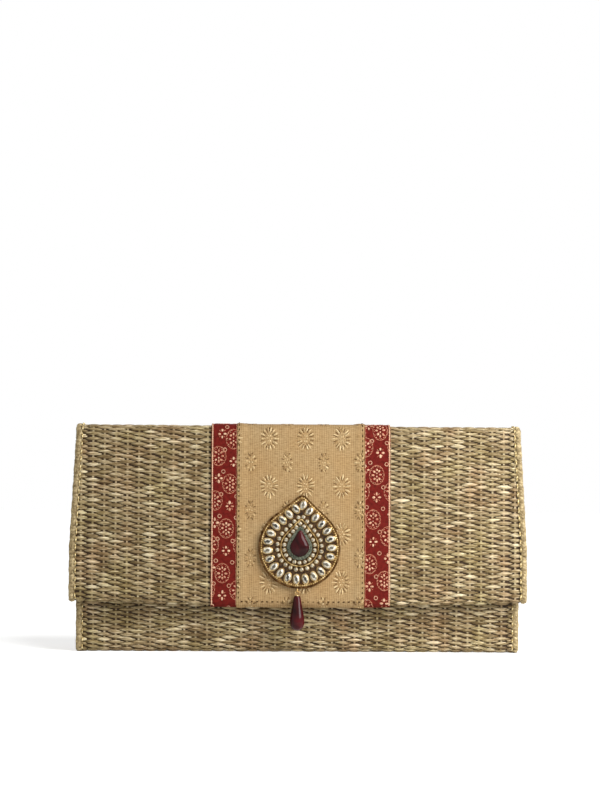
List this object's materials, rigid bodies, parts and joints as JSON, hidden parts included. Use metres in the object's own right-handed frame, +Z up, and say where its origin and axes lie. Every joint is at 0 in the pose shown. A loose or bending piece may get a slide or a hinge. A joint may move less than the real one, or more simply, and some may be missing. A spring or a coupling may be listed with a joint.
{
  "type": "clutch bag",
  "caption": "Flat woven clutch bag with a full-width flap, a brocade band edged with ribbon, and a jewelled teardrop brooch with a hanging glass drop.",
  "frame": {"origin": "on the floor, in the middle of the bag's flat base", "axes": "+X across the bag to the right seen from the front, +Y from front to back, +Z up"},
  "size_m": [0.2568, 0.0521, 0.1295],
  "materials": {
    "woven_straw": "glossy flat straw, woven in columns",
    "grey_board": "matte paper board",
    "cotton_lining": "plain matte cotton",
    "red_ribbon": "satin with a raised woven pattern",
    "gold_brocade": "satin with a raised woven pattern",
    "antique_gilt": "worn antique gilt",
    "oxidised_silver": "grained and darkened",
    "clear_stone": "cut and foil backed",
    "garnet_glass": "polished",
    "nickel_snap": "nickel plated"
  },
  "bodies": {
    "bag": {"woven_wrap": "woven_straw", "front_board": "grey_board", "base_board": "grey_board", "back_board": "grey_board", "left_gusset": "cotton_lining", "right_gusset": "cotton_lining", "pocket_lining": "cotton_lining", "snap_magnet": "nickel_snap", "snap_magnet_washer": "nickel_snap"},
    "flap": {"woven_flap": "woven_straw", "flap_board": "grey_board", "top_board": "grey_board", "flap_lining": "cotton_lining", "left_ribbon": "red_ribbon", "right_ribbon": "red_ribbon", "brocade_panel": "gold_brocade", "snap_stud": "nickel_snap", "snap_stud_washer": "nickel_snap", "brooch_plate": "antique_gilt", "centre_setting": "oxidised_silver", "centre_stone": "garnet_glass", "inner_stones": "clear_stone", "middle_stones": "clear_stone", "outer_stones": "clear_stone", "ring_wall": "antique_gilt"},
    "ring": {"jump_ring": "antique_gilt"},
    "drop": {"drop_loop": "antique_gilt", "drop_bead": "garnet_glass"}
  },
  "joints": [
    {"name": "flap_hinge", "type": "hinge", "parent": "bag", "child": "flap", "pos_m": [0, 0.0095, 0.1282], "axis": [-1, 0, 0], "range_deg": [0, 180]},
    {"name": "ring_tilt", "type": "hinge", "parent": "flap", "child": "ring", "pos_m": [-0.00086, -0.02896, 0.03633], "axis": [-1, 0, 0], "range_deg": [0, 80]},
    {"name": "drop_swing", "type": "hinge", "parent": "ring", "child": "drop", "pos_m": [-0.00086, -0.0291, 0.03464], "axis": [0, -0.9967, 0.0814], "range_deg": [-28, 28]}
  ]
}
